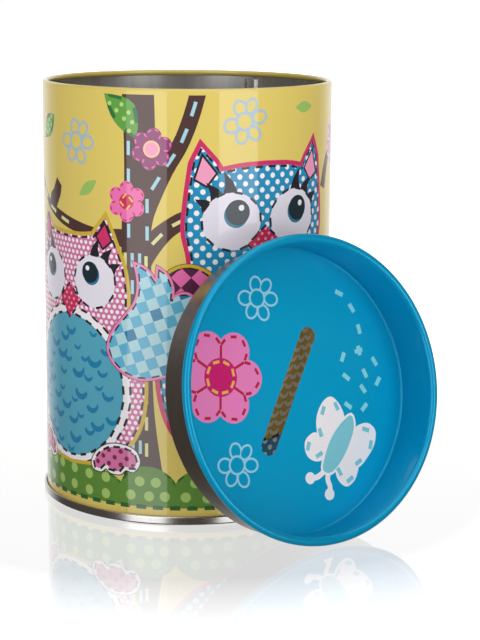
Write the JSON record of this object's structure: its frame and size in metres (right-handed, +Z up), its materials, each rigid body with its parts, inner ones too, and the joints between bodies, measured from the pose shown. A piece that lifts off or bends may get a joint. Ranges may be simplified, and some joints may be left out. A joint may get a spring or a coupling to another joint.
{
  "type": "tin money box",
  "caption": "Round seamed tinplate money box with a printed wall and a loose plug lid that has a recessed panel and a coin slot, shown open with the lid leaning on the can.",
  "frame": {"origin": "on the floor, under the middle of the can and its leaning lid together", "axes": "+Z up along the can's axis; the lid leans on the can's -Y side and the YZ plane halves both"},
  "size_m": [0.102, 0.1396, 0.145],
  "materials": {
    "printed_tinplate": "colour print under a clear gloss varnish, bare tin inside",
    "bare_tinplate": "bright bare tinplate",
    "lid_enamel": "gloss enamel print on the face, bare tin on the back"
  },
  "bodies": {
    "can": {"body_shell": "printed_tinplate", "bottom_end": "bare_tinplate"},
    "lid": {"lid": "lid_enamel"}
  },
  "joints": [
    {"name": "lid_lift", "type": "slide", "parent": "can", "child": "lid", "axis": [0, 0, 1], "range_m": [0, 0.15]}
  ]
}
